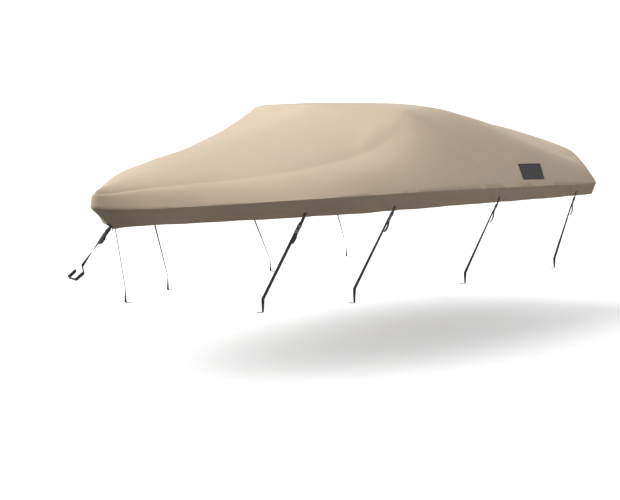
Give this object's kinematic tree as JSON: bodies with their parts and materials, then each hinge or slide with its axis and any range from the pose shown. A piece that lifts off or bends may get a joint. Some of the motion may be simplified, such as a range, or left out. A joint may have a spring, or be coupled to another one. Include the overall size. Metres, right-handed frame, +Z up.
{
  "type": "boat cover",
  "caption": "Fitted boat cover pulled tight: hollow cloth shell with raised roof, tapered bow, tucked-in skirt, plain label patch and webbing tie-downs with buckles.",
  "frame": {"origin": "inside of the roof, on the centre plane, at the top of the raised front, where what is covered carries the cloth", "axes": "+Z up, -Y towards the bow, +X towards port"},
  "size_m": [2.3126, 5.6915, 1.3639],
  "materials": {
    "cloth": "matt plain weave",
    "webbing": "ribbed black webbing",
    "plastic": "black moulded",
    "label_cloth": "smooth black, bare"
  },
  "bodies": {
    "root": {"cover": "cloth", "label_patch": "label_cloth", "tab_bow": "webbing", "buckle_bow": "plastic", "strap_bow": "webbing", "tab_port_1": "webbing", "buckle_port_1": "plastic", "strap_port_1": "webbing", "tab_port_2": "webbing", "buckle_port_2": "plastic", "strap_port_2": "webbing", "tab_port_3": "webbing", "buckle_port_3": "plastic", "strap_port_3": "webbing", "tab_port_4": "webbing", "buckle_port_4": "plastic", "strap_port_4": "webbing", "tab_starboard_1": "webbing", "buckle_starboard_1": "plastic", "strap_starboard_1": "webbing", "tab_starboard_2": "webbing", "buckle_starboard_2": "plastic", "strap_starboard_2": "webbing", "tab_starboard_3": "webbing", "buckle_starboard_3": "plastic", "strap_starboard_3": "webbing", "tab_starboard_4": "webbing", "buckle_starboard_4": "plastic", "strap_starboard_4": "webbing"}
  },
  "joints": []
}
